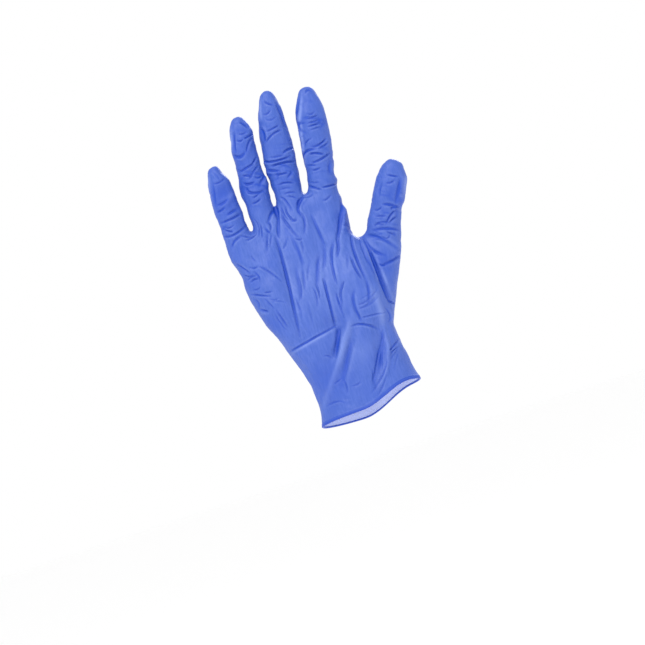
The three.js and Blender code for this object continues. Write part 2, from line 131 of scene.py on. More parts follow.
# Rolls and valleys of the whole film: the start, middle and end of each, its height and its half width.
ROLLS = (
    ((6.0, 66.0), (-9.0, 43.0), (-35.0, 7.0), 1.5, 3.4),
    ((-3.5, 62.0), (-9.0, 52.0), (-15.0, 40.0), -1.7, 2.2),
    ((3.0, 56.0), (-3.0, 42.0), (-13.0, 24.0), -1.2, 3.6),
    ((21.0, 48.0), (17.0, 32.0), (8.0, 13.0), -1.5, 3.8),
    ((26.0, 54.0), (21.5, 27.0), (7.0, 9.0), 0.8, 2.0),
    ((26.0, 78.0), (27.5, 62.0), (24.0, 50.0), 0.9, 2.4),
    ((-40.0, 50.0), (-37.0, 30.0), (-33.0, 12.0), -0.8, 3.2),
    ((33.8, 110.0), (35.2, 90.0), (36.4, 68.0), -1.6, 2.0),
    ((29.5, 108.0), (30.5, 88.0), (31.5, 70.0), 0.8, 2.2),
    ((-29.0, 138.0), (-30.0, 108.0), (-34.5, 66.0), -0.7, 2.2),
    ((-24.0, 132.0), (-25.0, 108.0), (-29.0, 74.0), 0.6, 3.2),
    ((-6.0, 98.0), (-7.5, 82.0), (-9.0, 64.0), 0.6, 2.4),
    ((16.0, 118.0), (12.5, 104.0), (12.0, 86.0), 0.7, 4.0),
    ((21.0, 146.0), (19.0, 134.0), (14.0, 121.0), -1.3, 2.6),
    ((25.5, 150.0), (24.5, 140.0), (20.5, 127.0), 0.7, 1.6),
    ((-22.5, 159.0), (-22.5, 155.0), (-23.5, 149.0), -1.4, 2.4),
    ((-2.0, 160.0), (-3.8, 157.0), (-6.0, 152.0), -1.3, 2.6),
    ((-60.0, 176.0), (-55.5, 180.0), (-53.5, 187.0), -0.9, 4.0),
    ((-60.5, 167.0), (-55.0, 171.5), (-48.5, 177.5), 0.6, 2.2),
    ((-62.0, 131.0), (-57.0, 126.0), (-51.0, 121.0), 0.7, 2.6),
    ((-57.0, 113.0), (-53.0, 112.0), (-49.0, 110.0), -0.7, 3.0),
    ((-53.0, 88.0), (-49.0, 80.0), (-45.0, 70.0), -0.8, 3.6),
)

# Painted highlights along thin ridges, where the lamp catches them: the start, middle and end of each, its
# strength and its half width.
PAINTED_RIDGE_HIGHLIGHTS = (
    ((8.4, 180.0), (12.2, 201.0), (21.3, 231.0), 0.9, 0.9),
    ((-41.0, 200.0), (-38.5, 212.0), (-34.5, 224.0), 0.7, 1.1),
    ((-66.0, 168.0), (-65.0, 182.0), (-61.0, 196.0), 0.6, 1.3),
    ((-12.0, 222.0), (-10.5, 229.0), (-7.5, 236.0), 0.5, 1.0),
    ((70.0, 138.0), (73.0, 145.0), (75.5, 151.0), 0.6, 1.1),
    ((6.0, 65.0), (-8.0, 43.0), (-36.0, 5.5), 0.35, 2.2),
    ((25.0, 52.0), (21.0, 26.0), (6.0, 8.5), 0.15, 1.2),
    ((27.0, 80.0), (27.5, 63.0), (25.0, 51.0), 0.4, 2.2),
    ((-44.0, 52.5), (-27.0, 56.3), (-6.5, 60.2), 0.35, 0.9),
    ((-31.0, 143.5), (-27.5, 149.0), (-24.0, 153.5), 0.12, 1.8),
    ((-57.0, 173.0), (-51.0, 176.0), (-47.0, 179.0), 0.5, 1.8),
    ((32.0, 112.0), (32.8, 98.0), (33.2, 84.0), 0.5, 1.0),
    ((37.0, 104.0), (37.5, 92.0), (38.5, 80.0), 0.45, 1.0),
)

# Patches of painted shade, where the film lies in shade, and of painted light, where it faces the lamp: the
# place, how much, and its reach.
PAINTED_SHADE_PATCHES = (
    ((-56.0, 174.0), 0.42, 12.0),
    ((-55.0, 181.0), 0.25, 6.0),
    ((-31.5, 178.0), 0.27, 10.0),
    ((-31.5, 205.0), 0.3, 10.0),
    ((-39.5, 178.0), 0.3, 5.0),
    ((-9.0, 178.0), 0.17, 12.0),
    ((41.0, 96.0), 0.52, 10.0),
    ((-24.0, 25.0), 0.38, 16.0),
    ((-50.0, 76.0), 0.3, 8.0),
    ((-56.0, 111.0), 0.25, 6.0),
    ((-22.5, 156.0), 0.9, 2.6),
    ((-4.0, 156.5), 0.6, 3.4),
    ((21.5, 137.0), 0.5, 5.0),
    ((15.0, 30.0), 0.3, 7.0),
    ((4.0, 8.0), 0.2, 8.0),
    ((68.0, 143.0), 0.35, 5.0),
)
# Patches of painted light, where the palm and the cuff face the lamp.
PAINTED_LIGHT_PATCHES = (
    ((-8.0, 96.0), 0.12, 22.0),
    ((10.0, 100.0), 0.1, 9.0),
    ((6.0, 38.0), 0.14, 9.0),
    ((48.0, 106.0), 0.08, 6.0),
)

# Creases on the palm's side: the start, middle and end of each, its depth and its half width.
PALM_CREASES = (
    ((-21.5, 157.0), (-22.8, 149.0), (-25.5, 137.5), 1.0, 1.3),
    ((-28.3, 138.0), (-29.6, 108.0), (-34.0, 63.0), 1.2, 1.2),
    ((-19.8, 150.0), (-16.5, 140.0), (-12.3, 131.5), 0.8, 1.0),
    ((-17.8, 134.0), (-16.0, 122.0), (-15.8, 111.0), 0.8, 1.6),
    ((-17.0, 110.0), (-18.5, 102.0), (-20.3, 94.0), 0.6, 1.2),
    ((-11.6, 131.0), (-12.0, 125.0), (-13.0, 119.0), 0.6, 0.9),
    ((-21.3, 112.0), (-23.0, 101.0), (-25.2, 87.0), 0.6, 1.5),
    ((-2.0, 115.0), (-7.0, 105.0), (-11.5, 91.0), 0.8, 2.0),
    ((-4.3, 97.5), (-5.7, 82.0), (-7.3, 62.5), 1.1, 1.1),
    ((1.3, 144.0), (2.6, 131.0), (3.3, 120.0), 0.9, 1.3),
    ((3.0, 122.0), (0.5, 112.0), (-3.5, 103.0), 0.7, 1.5),
    ((10.5, 121.0), (5.0, 109.0), (3.0, 91.0), 1.0, 1.3),
    ((7.5, 91.0), (3.5, 83.0), (0.8, 71.0), 0.7, 1.3),
    ((14.6, 128.0), (13.6, 117.0), (9.5, 111.5), 0.7, 1.5),
    ((23.6, 120.0), (22.8, 104.0), (24.5, 88.0), 1.0, 1.2),
    ((24.5, 88.0), (23.8, 79.0), (20.6, 70.0), 0.9, 1.3),
    ((18.8, 108.0), (19.8, 99.0), (21.2, 90.5), 0.8, 1.0),
    ((29.8, 112.0), (30.2, 100.0), (32.0, 88.0), 0.5, 1.5),
    ((32.2, 117.0), (33.8, 104.0), (35.4, 88.0), 1.3, 1.3),
    ((34.8, 95.0), (35.6, 80.0), (36.3, 66.0), 1.5, 1.7),
    ((14.0, 83.0), (10.6, 74.0), (12.0, 61.5), 0.9, 1.5),
    ((11.0, 68.3), (20.0, 70.0), (28.5, 74.0), 0.5, 0.8),
    ((13.5, 71.5), (20.5, 73.0), (29.0, 77.3), 0.4, 0.8),
    ((-61.5, 128.0), (-58.0, 122.8), (-54.3, 118.0), 1.0, 0.9),
    ((-47.5, 121.0), (-41.0, 115.0), (-34.5, 105.5), 0.8, 0.8),
    ((-59.5, 103.3), (-53.0, 100.6), (-45.8, 97.5), 0.9, 0.8),
    ((-50.0, 97.0), (-47.7, 92.0), (-46.0, 88.3), 0.6, 0.9),
    ((-45.0, 88.0), (-42.5, 79.0), (-40.3, 71.5), 0.5, 0.9),
    ((-61.5, 139.5), (-58.5, 143.6), (-52.0, 145.6), 1.1, 1.1),
)
WRIST_CREASES = (
    ((-44.5, 54.5), (-27.0, 58.3), (-6.3, 62.3), 1.2, 0.9),
    ((4.0, 58.5), (13.0, 57.0), (22.5, 50.0), 0.9, 1.0),
    ((-5.5, 61.0), (-8.5, 52.0), (-14.0, 41.5), 1.6, 1.8),
    ((4.0, 63.0), (-8.0, 43.0), (-35.0, 6.0), -1.3, 3.0),
    ((1.0, 48.0), (-7.0, 36.0), (-16.0, 19.0), 0.7, 2.2),
    ((24.5, 50.0), (20.0, 35.0), (9.0, 16.0), 0.6, 2.6),
    ((26.0, 55.0), (24.0, 32.0), (13.0, 11.5), -0.8, 1.6),
    ((14.0, 28.0), (10.0, 20.0), (6.5, 10.0), 0.6, 1.4),
    ((25.5, 33.0), (29.5, 35.3), (33.5, 38.0), 0.7, 0.8),
    ((-30.0, 7.5), (-22.0, 8.5), (-13.0, 6.0), -0.4, 1.4),
)
LITTLE_CREASES = (
    ((-64.5, 149.4), (-57.0, 148.3), (-47.5, 151.8), 1.2, 0.9),
    ((-62.5, 154.6), (-59.5, 151.8), (-56.5, 151.0), 1.1, 0.8),
    ((-61.5, 155.5), (-58.5, 154.2), (-54.5, 155.2), 0.8, 0.7),
    ((-52.0, 146.5), (-49.0, 144.2), (-44.5, 143.8), 0.8, 0.8),
    ((-49.5, 142.0), (-46.0, 142.5), (-42.0, 145.5), 1.0, 1.0),
    ((-63.0, 159.4), (-55.0, 160.0), (-47.5, 161.4), 1.4, 0.9),
    ((-57.0, 163.5), (-53.0, 164.8), (-48.5, 165.5), 0.9, 1.3),
    ((-63.0, 168.0), (-60.5, 168.0), (-57.0, 169.3), 1.1, 0.9),
    ((-61.5, 172.8), (-58.0, 172.6), (-53.0, 174.5), 0.8, 1.2),
    ((-60.0, 188.5), (-56.0, 188.0), (-51.0, 189.8), 0.7, 0.8),
    ((-57.3, 198.0), (-55.8, 193.5), (-54.5, 189.5), 0.35, 0.8),
    ((-62.8, 172.0), (-61.8, 180.0), (-59.8, 189.0), 0.5, 1.1),
)
RING_CREASES = (
    ((-37.5, 165.8), (-34.0, 166.0), (-30.0, 167.4), 1.0, 0.8),
    ((-37.8, 177.8), (-35.0, 173.3), (-26.5, 172.3), 1.4, 1.0),
    ((-36.0, 169.5), (-32.5, 170.3), (-29.0, 171.6), 0.7, 0.8),
    ((-38.5, 181.8), (-35.2, 180.2), (-31.0, 180.6), 1.3, 1.0),
    ((-37.8, 187.2), (-34.5, 186.4), (-31.0, 184.6), 1.1, 0.8),
    ((-33.5, 183.5), (-29.5, 187.5), (-24.5, 190.8), 1.1, 0.8),
    ((-39.0, 190.8), (-33.5, 191.9), (-27.5, 193.4), 1.5, 0.9),
    ((-28.5, 193.2), (-26.0, 195.2), (-23.8, 197.0), 1.0, 0.8),
    ((-28.5, 176.0), (-26.0, 180.0), (-23.0, 183.0), 0.9, 1.1),
    ((-29.5, 184.5), (-27.5, 182.5), (-24.5, 183.5), 0.8, 0.8),
    ((-38.5, 203.5), (-35.5, 201.0), (-31.0, 203.0), 1.1, 1.3),
    ((-36.8, 205.0), (-36.0, 212.0), (-34.0, 219.0), 0.9, 1.0),
    ((-29.5, 203.0), (-27.0, 207.5), (-23.5, 211.5), 0.9, 0.9),
    ((-28.0, 212.8), (-25.5, 213.3), (-22.0, 214.0), 1.3, 0.8),
    ((-34.0, 213.5), (-31.5, 212.0), (-29.0, 213.0), 0.7, 0.8),
    ((-31.5, 217.5), (-28.0, 216.5), (-25.0, 217.5), 0.7, 0.8),
    ((-27.5, 225.0), (-25.3, 223.0), (-24.0, 219.8), 1.0, 1.0),
)
MIDDLE_CREASES = (
    ((-16.5, 163.8), (-13.5, 160.0), (-11.5, 152.0), 0.9, 1.0),
    ((-13.5, 165.2), (-9.0, 165.3), (-4.0, 164.0), 0.7, 0.8),
    ((-11.5, 163.2), (-8.0, 161.8), (-5.0, 160.0), 0.7, 0.8),
    ((-15.0, 172.8), (-9.5, 173.0), (-3.5, 171.0), 1.0, 0.8),
    ((-16.0, 169.0), (-11.0, 169.2), (-6.0, 168.0), 0.5, 0.8),
    ((-14.5, 180.4), (-10.0, 179.8), (-5.5, 179.4), 1.2, 0.8),
    ((-7.0, 175.5), (-4.5, 177.5), (-1.5, 179.5), 0.7, 1.3),
    ((-18.0, 185.5), (-15.5, 184.2), (-11.0, 182.6), 1.2, 1.0),
    ((-15.0, 187.4), (-7.0, 187.3), (2.3, 185.8), 1.6, 0.9),
    ((-19.3, 193.3), (-12.0, 190.2), (0.5, 190.6), 1.3, 0.9),
    ((-4.5, 194.0), (-0.5, 195.4), (3.8, 195.2), 1.2, 1.0),
    ((-14.5, 193.8), (-9.0, 193.0), (-4.0, 192.8), 0.6, 0.8),
    ((-14.0, 205.5), (-7.5, 209.4), (-0.5, 210.6), 1.2, 0.8),
    ((-11.5, 212.7), (-6.0, 213.4), (-1.0, 214.6), 1.0, 0.8),
    ((-14.8, 216.5), (-13.8, 211.5), (-15.3, 206.0), 1.0, 1.4),
    ((-9.5, 225.0), (-6.5, 225.0), (-3.5, 226.8), 0.8, 0.8),
    ((-6.0, 233.5), (-3.5, 231.2), (-0.5, 229.5), 0.9, 0.8),
    ((-9.0, 221.0), (-5.0, 219.8), (-1.0, 221.0), 0.5, 0.8),
    ((1.5, 230.0), (3.0, 222.0), (3.3, 211.0), 0.7, 1.2),
)
INDEX_CREASES = (
    ((6.8, 165.3), (9.5, 163.0), (13.4, 160.2), 1.2, 0.9),
    ((15.0, 161.4), (20.0, 160.8), (26.8, 160.6), 1.3, 0.8),
    ((12.5, 152.3), (15.5, 152.2), (19.5, 154.2), 0.9, 0.9),
    ((8.0, 168.0), (10.5, 166.5), (13.5, 165.8), 0.6, 0.8),
    ((11.5, 175.8), (14.5, 175.2), (18.5, 175.6), 0.9, 0.8),
    ((9.0, 179.8), (12.5, 179.3), (15.5, 177.8), 0.7, 0.8),
    ((12.8, 181.0), (20.0, 181.2), (27.8, 183.4), 1.4, 0.9),
    ((13.5, 187.4), (18.0, 186.6), (23.5, 184.2), 1.3, 0.9),
    ((8.0, 183.0), (10.5, 189.4), (19.0, 189.8), 1.4, 1.1),
    ((16.5, 191.8), (22.5, 191.8), (28.8, 194.6), 1.1, 0.8),
    ((12.0, 194.5), (14.5, 196.8), (18.5, 197.8), 0.7, 0.8),
    ((21.0, 189.0), (25.5, 189.8), (29.5, 191.5), 0.7, 0.8),
    ((19.5, 203.5), (24.0, 204.0), (28.0, 203.6), 0.6, 0.7),
    ((19.0, 206.5), (23.5, 206.6), (28.5, 206.4), 0.9, 0.7),
    ((20.5, 209.5), (24.0, 209.0), (28.0, 209.3), 0.8, 0.7),
    ((21.0, 212.5), (24.5, 212.2), (28.5, 212.8), 0.8, 0.7),
    ((21.5, 216.0), (24.0, 214.7), (27.0, 216.0), 0.6, 0.8),
    ((9.0, 198.0), (12.2, 212.0), (18.2, 227.5), 0.8, 0.9),
    ((23.5, 169.0), (24.3, 173.0), (26.3, 178.0), 0.7, 1.4),
    ((24.0, 230.0), (26.5, 231.5), (29.0, 229.5), 0.7, 1.0),
)
THUMB_CREASES = (
    ((40.5, 94.4), (46.5, 94.6), (53.5, 96.8), 1.5, 1.1),
    ((37.5, 95.5), (39.5, 93.6), (42.5, 93.8), 0.9, 0.9),
    ((33.5, 114.0), (36.5, 106.0), (43.5, 100.0), 0.9, 1.3),
    ((35.0, 117.5), (44.0, 113.0), (54.0, 101.0), 0.9, 1.5),
    ((38.0, 113.5), (43.5, 112.2), (49.0, 108.0), 0.7, 1.0),
    ((40.5, 120.0), (50.0, 118.6), (59.0, 114.3), 1.2, 1.2),
    ((42.5, 122.5), (46.0, 123.6), (49.5, 121.2), 1.0, 0.8),
    ((44.0, 124.2), (49.5, 123.8), (53.5, 122.0), 0.9, 0.8),
    ((51.0, 121.5), (55.5, 126.0), (60.5, 129.0), 1.2, 0.9),
    ((53.5, 121.8), (57.0, 123.5), (61.0, 124.5), 0.8, 0.9),
    ((45.5, 129.5), (49.5, 128.4), (53.0, 127.0), 0.8, 0.8),
    ((53.5, 135.8), (57.5, 134.5), (62.5, 131.5), 1.3, 1.1),
    ((46.0, 134.5), (49.0, 133.4), (52.0, 134.8), 0.8, 0.8),
    ((58.0, 131.0), (61.0, 131.5), (64.5, 130.3), 1.5, 1.1),
    ((62.0, 133.0), (66.5, 141.0), (71.0, 150.0), 0.9, 1.6),
    ((60.5, 150.0), (63.5, 149.3), (67.0, 150.2), 0.9, 0.9),
    ((63.0, 155.5), (66.5, 153.8), (70.5, 152.0), 0.9, 0.9),
    ((52.5, 142.0), (54.0, 146.5), (57.0, 150.5), 0.5, 1.2),
    ((45.0, 114.5), (48.5, 111.3), (51.5, 114.0), 0.7, 0.8),
    ((49.0, 117.0), (52.0, 114.4), (54.5, 112.0), 0.7, 0.8),
)
# Finer creases of the palm, the webs and the cuff.
SMALL_CREASES = (
    ((-22.5, 159.0), (-22.3, 156.0), (-23.0, 151.0), 1.4, 1.5),
    ((1.0, 160.0), (-2.5, 158.0), (-6.5, 154.0), 1.2, 1.3),
    ((25.8, 151.0), (23.0, 141.0), (17.0, 127.0), 1.2, 1.3),
    ((22.0, 139.0), (18.5, 131.0), (13.0, 120.0), 1.1, 1.4),
    ((33.3, 107.0), (34.8, 90.0), (36.4, 67.0), 1.5, 1.2),
    ((-28.4, 138.0), (-29.8, 108.0), (-34.2, 63.0), 1.1, 0.9),
    ((-5.0, 98.0), (-6.2, 82.0), (-7.2, 61.0), 1.1, 0.8),
    ((-59.5, 118.5), (-56.0, 116.0), (-52.5, 116.5), 0.9, 0.7),
    ((-58.0, 113.8), (-54.5, 115.2), (-50.5, 115.0), 0.9, 0.7),
    ((-57.0, 111.5), (-53.0, 113.0), (-49.5, 112.4), 0.7, 0.7),
    ((-53.5, 122.5), (-50.5, 120.5), (-47.5, 121.0), 0.8, 0.8),
    ((-51.5, 118.0), (-49.5, 114.5), (-50.0, 111.0), 0.8, 1.0),
    ((-47.5, 124.5), (-49.0, 127.0), (-50.0, 130.0), 0.6, 0.7),
    ((-56.0, 106.0), (-53.5, 105.3), (-50.5, 106.2), 0.7, 0.8),
    ((-49.0, 101.2), (-46.5, 100.8), (-43.5, 100.4), 0.9, 0.7),
    ((-47.0, 96.0), (-43.5, 94.0), (-40.0, 94.5), 0.6, 0.7),
    ((-46.0, 92.5), (-42.0, 92.6), (-36.0, 89.5), 0.5, 0.7),
    ((-55.5, 91.0), (-53.0, 88.5), (-51.0, 88.0), 1.0, 1.1),
    ((-58.0, 99.5), (-55.5, 95.5), (-56.5, 91.5), 0.6, 0.9),
    ((-44.0, 84.0), (-42.5, 79.0), (-40.5, 72.5), 0.8, 0.8),
    ((-46.5, 84.0), (-45.0, 77.0), (-42.5, 70.5), 0.6, 0.7),
    ((-33.0, 142.5), (-35.5, 136.5), (-37.8, 129.0), 0.9, 0.9),
    ((-30.8, 140.5), (-32.5, 136.5), (-35.0, 131.5), 0.6, 0.9),
    ((-37.5, 150.0), (-37.0, 146.5), (-38.0, 140.0), 0.8, 0.8),
    ((-40.0, 155.0), (-39.0, 148.0), (-40.5, 141.0), 0.6, 0.8),
    ((-34.0, 146.0), (-32.5, 143.0), (-31.0, 141.5), 1.1, 1.0),
    ((-31.0, 150.0), (-29.5, 146.5), (-31.0, 143.0), 0.9, 0.9),
    ((-24.0, 156.0), (-27.0, 154.0), (-30.5, 149.0), 1.2, 1.3),
    ((-23.0, 149.5), (-25.5, 142.0), (-26.2, 136.0), 1.1, 1.1),
    ((-19.0, 152.0), (-18.5, 147.5), (-15.0, 139.0), 0.8, 0.8),
    ((-15.5, 156.5), (-15.0, 150.0), (-12.0, 144.5), 0.9, 0.8),
    ((-14.0, 148.0), (-12.5, 145.0), (-9.5, 145.2), 1.2, 1.0),
    ((-18.3, 157.0), (-17.8, 151.0), (-16.5, 147.0), 0.7, 0.8),
    ((-4.0, 156.0), (-7.0, 151.5), (-5.0, 146.0), 1.3, 1.3),
    ((-5.5, 148.0), (-5.0, 141.5), (-8.0, 133.0), 1.0, 1.1),
    ((-1.5, 158.0), (-4.5, 156.5), (-6.5, 152.5), 1.0, 1.4),
    ((1.0, 159.5), (4.0, 158.5), (7.0, 159.5), 0.6, 0.9),
    ((-15.5, 132.0), (-12.5, 130.2), (-10.5, 130.6), 0.9, 0.8),
    ((-26.5, 127.5), (-24.0, 129.5), (-21.0, 135.0), 0.6, 0.8),
    ((-22.0, 104.0), (-22.5, 96.0), (-25.5, 88.0), 0.9, 0.9),
    ((-14.0, 94.0), (-13.5, 87.0), (-15.5, 79.0), 0.7, 0.9),
    ((-11.0, 96.0), (-10.8, 90.0), (-12.0, 84.5), 0.7, 0.8),
    ((-29.5, 92.0), (-28.0, 84.0), (-28.5, 74.0), 0.5, 0.8),
    ((-21.0, 86.0), (-21.5, 76.0), (-22.5, 66.0), 0.4, 0.9),
    ((-11.0, 112.0), (-14.0, 106.0), (-16.5, 99.0), 0.5, 1.0),
    ((3.5, 108.0), (4.0, 101.0), (3.0, 92.0), 1.0, 0.9),
    ((13.5, 124.0), (12.5, 117.0), (9.5, 109.0), 1.0, 1.0),
    ((18.0, 110.0), (16.0, 105.0), (14.5, 98.0), 0.4, 1.0),
    ((9.0, 91.5), (6.0, 87.0), (1.5, 80.5), 0.9, 0.8),
    ((0.8, 85.0), (0.2, 78.0), (0.6, 66.0), 0.9, 0.9),
    ((24.0, 122.0), (22.5, 110.0), (22.8, 96.0), 1.2, 0.9),
    ((19.0, 104.0), (19.5, 97.0), (22.0, 88.5), 0.9, 0.8),
    ((29.5, 118.0), (29.0, 108.0), (30.0, 97.0), 0.6, 0.9),
    ((13.0, 69.0), (21.0, 69.2), (29.5, 73.5), 0.7, 0.7),
    ((13.0, 72.0), (21.0, 72.5), (30.0, 78.5), 0.6, 0.7),
    ((15.0, 75.0), (21.0, 76.0), (27.0, 78.0), 0.4, 0.7),
    ((10.0, 69.5), (11.0, 66.0), (11.8, 60.0), 1.2, 1.0),
    ((36.0, 70.0), (37.0, 66.5), (39.0, 64.5), 1.2, 0.8),
    ((12.0, 62.0), (20.0, 61.5), (31.0, 60.5), 0.6, 0.8),
    ((31.5, 64.0), (33.0, 57.5), (31.0, 53.0), 0.7, 0.8),
    ((25.0, 33.0), (28.5, 35.0), (34.0, 38.8), 1.1, 0.7),
    ((25.0, 30.0), (27.5, 32.0), (31.5, 34.0), 0.8, 0.7),
    ((24.0, 27.0), (28.0, 30.0), (32.0, 34.0), 0.5, 0.7),
    ((24.0, 48.0), (23.5, 44.0), (21.5, 41.0), 0.9, 0.9),
    ((-2.5, 18.0), (-5.0, 16.5), (-9.5, 17.0), 0.6, 0.9),
    ((2.9, 7.3), (14.5, 17.4), (20.8, 27.0), 0.7, 0.8),
    ((6.0, 3.6), (12.0, 9.5), (17.5, 17.0), 0.5, 0.8),
    ((5.9, 12.7), (14.5, 28.9), (23.4, 42.8), 0.8, 0.9),
    ((15.5, 22.0), (18.5, 31.0), (21.5, 40.0), 0.6, 0.7),
    ((24.0, 18.0), (27.0, 24.0), (31.0, 30.0), 0.4, 0.7),
    ((6.0, 15.0), (8.0, 19.0), (9.0, 24.0), 0.7, 0.9),
    ((-22.0, 44.0), (-19.0, 43.0), (-16.5, 40.5), 0.5, 0.7),
    ((-20.5, 22.0), (-17.5, 23.5), (-14.5, 24.5), 0.6, 0.7),
    ((-31.0, 8.5), (-24.0, 9.5), (-18.0, 7.0), 0.6, 0.9),
    ((-14.5, 24.0), (-13.0, 19.0), (-14.0, 13.0), 0.6, 0.9),
)
# Creases on the glove's back, which are guessed.
BACK_CREASES = (
    ((-44.0, 148.0), (-45.0, 138.0), (-43.0, 124.0), 0.8, 1.6),
    ((-22.0, 156.0), (-21.0, 144.0), (-22.0, 128.0), 0.9, 1.6),
    ((3.0, 158.0), (2.0, 146.0), (-1.0, 129.0), 0.8, 1.6),
    ((-33.0, 138.0), (-32.0, 124.0), (-29.0, 106.0), 0.5, 1.8),
    ((-10.0, 142.0), (-10.0, 126.0), (-9.0, 108.0), 0.4, 1.8),
    ((24.0, 140.0), (19.0, 128.0), (12.0, 112.0), 0.7, 1.6),
    ((30.0, 114.0), (24.0, 100.0), (16.0, 86.0), 0.8, 1.8),
    ((38.0, 100.0), (33.0, 86.0), (28.0, 72.0), 0.6, 1.8),
    ((-60.0, 139.0), (-55.0, 141.5), (-49.0, 139.0), 0.6, 1.2),
    ((-39.0, 147.0), (-33.0, 149.5), (-26.0, 147.0), 0.6, 1.2),
    ((-16.0, 153.0), (-9.5, 156.0), (-3.0, 153.5), 0.6, 1.2),
    ((8.0, 152.0), (14.0, 155.0), (21.0, 152.0), 0.6, 1.2),
    ((-34.0, 57.0), (-10.0, 61.0), (16.0, 58.0), 0.8, 1.4),
    ((-28.0, 50.0), (-5.0, 52.5), (18.0, 49.0), 0.5, 1.4),
    ((22.0, 60.0), (12.0, 45.0), (6.0, 20.0), 0.8, 2.2),
    ((-35.0, 46.0), (-28.0, 30.0), (-26.0, 10.0), 0.8, 2.2),
    ((-6.0, 48.0), (-12.0, 30.0), (-9.0, 8.0), 0.6, 2.4),
    ((-50.0, 96.0), (-44.0, 82.0), (-36.0, 66.0), 0.6, 1.8),
)
CREASES = (
    PALM_CREASES
    + WRIST_CREASES
    + LITTLE_CREASES
    + RING_CREASES
    + MIDDLE_CREASES
    + INDEX_CREASES
    + THUMB_CREASES
    + SMALL_CREASES
)

# A crease's section, in shares of its half width and depth.
CREASE_REACH = 4.0
ROLL_REACH = 3.0
GROOVE_WIDTH = 0.7
LIPS = ((1.5, 0.4, 0.75), (-1.5, 0.14, 0.8))  # the place, height and half width of each lip
DEEPEST = 0.8  # most that a crease sinks below the smooth skin, less than the wall
DARKEST = 1.2
LIP_PAINTED_HIGHLIGHT = 0.5  # how strong the painted highlight on the raised lips of the creases is, against the palest film

# Curves have so many straight steps, and fade over their last shares.
CURVE_STEPS = 10
CURVE_ENDS = (0.02, 0.98)

# Lines across the back of each finger joint.
KNUCKLE_LINES = (-5.2, -2.9, -0.8, 1.5, 3.9)  # distances from the joint
KNUCKLE_DEPTH = 0.75
KNUCKLE_WIDTH = 1.0
KNUCKLE_BOW = 0.22  # how far the middle moves out and the ends fall back, for each millimetre from the joint
KNUCKLE_SPAN = (0.85, 0.06)  # the line's half length in half widths, and how much a millimetre takes from it

# Waves and thin lines from noise: the size of one across, from front to back and up, and the noise's seed.
LONG_LINES = ((4.2, 30.0, 62.0), 11)
LONG_WAVES = ((5.5, 30.0, 75.0), 13)
LONG_STREAKS = ((1.7, 12.0, 24.0), 14)
CROSS_LINES = ((11.0, 14.0, 2.9), 21)
CROSS_WAVES = ((9.0, 12.0, 5.0), 23)
CUFF_WAVES = ((11.0, 11.0, 60.0), 31)
CUFF_LINES = ((10.0, 10.0, 42.0), 32)
DENTS = ((4.2, 4.2, 4.2), 41)
SMALL_DENTS = ((2.0, 2.0, 2.0), 42)
LONG_CLUMPS = ((21.0, 21.0, 21.0), 12)
CROSS_CLUMPS = ((9.0, 9.0, 9.0), 22)
SWAY = ((8.5, 8.5, 8.5), 51)
NOISE_VALUES = 4096
NOISE_PRIMES = (73856093, 19349663, 83492791)
NOISE_GAIN = 1.4

# Their slants, how thick their lines are and where lines gather.
LONG_SLANT = 0.12
SLANT_MIDDLE = 100.0
CROSS_LEAN = 0.05
CUFF_WAVE_SLANT = 0.35
CUFF_LINE_SLANT = 0.3
LONG_THICKNESS = 0.13
BACK_THICKNESS = 0.17  # so much thicker on the back
CROSS_THICKNESS = 0.2
CUFF_THICKNESS = 0.08
LONG_GATHERED = (-0.3, 0.5)
CROSS_GATHERED = (-0.4, 0.5)

# How deep their lines are and how high their waves.
LONG_LINE_DEPTH = 0.45
LONG_WAVE_HEIGHT = 0.3
CROSS_LINE_DEPTH = 0.5
CROSS_WAVE_HEIGHT = 0.25
CUFF_LINE_DEPTH = 0.3
CUFF_WAVE_HEIGHT = 0.35
DENT_HEIGHT = 0.13
SMALL_DENT_HEIGHT = 0.1
STREAK_HEIGHT = 0.08
SWAY_HEIGHT = 0.35

# How strong forms are on one part of the film, against another, and how much painted shade they put in their
# grooves; the fingers are also a little darker all over, and streaks vary the tone.
FINGER_STRONGER = 0.2
BACK_STRONGER = 1.3
BACK_SMOOTHER = 0.8
FRONT_SHARE = 0.28
SIDE_SHARE = 0.5
FINGER_SHARE = 0.25
LONG_DARK = 0.6
CROSS_DARK = 0.8
FINGER_DARK = 0.12
PALM_STREAK_DARK = 0.07
CUFF_STREAK_DARK = 0.06

# Where forms of one kind fade in or out: by how far the film faces the palm's side or the back.
FRONT_FROM = (0.02, 0.4)
BACK_FROM = (0.05, 0.55)
SIGHT_FROM = (-0.2, 0.2)
PALE_FROM = (0.1, 0.4)
ROLLS_FROM = (0.02, 0.5)
# The same by shares of a finger's length, and by height.
FINGER_FROM = (-0.02, 0.12)
PALM_FROM = (52.0, 66.0)
CUFF_TO = (50.0, 66.0)
JOINT_REACH = 9.0  # how far from a joint its wrinkles gather
ROOT_REACH = 8.0  # a place so far below a finger's root counts as one half width aside

ROLLED_WIDTH = 1.6  # height of the rolled film beside the bead
ROLLED_RISE = 0.3  # how far it stands out
SUNK = 1.4  # how far the inner skin lies below its place in the solid, so that no crease reaches it
SUNK_FROM = (2.0, 12.0)  # heights between which it sinks

# Values of the layer that tells the skins apart, and the limits between them.
OUTER = 1.0
BEAD = 0.5
INNER = 0.0
OUTER_FROM = 0.75
RELIEF_FROM = 0.6  # from here to the outer skin's value, the relief fades in
BEAD_FROM = 0.45
BEAD_BAND = 0.2
INNER_TO = 0.25

PLAIN_EDGE = 1.35 * MM  # longer edges of the outer skin are halved on the palm's side
CREASE_EDGE = 0.65 * MM  # longer edges are halved again at the creases
CREASED_FROM = 0.12  # the least darkness that counts as a crease there
PALM_FACING = 0.25  # the least share of a normal that faces the palm's side there


def smoothstep(low, high, value):
    share = np.clip((value - low) / (high - low), 0.0, 1.0)
    return share * share * (3.0 - 2.0 * share)


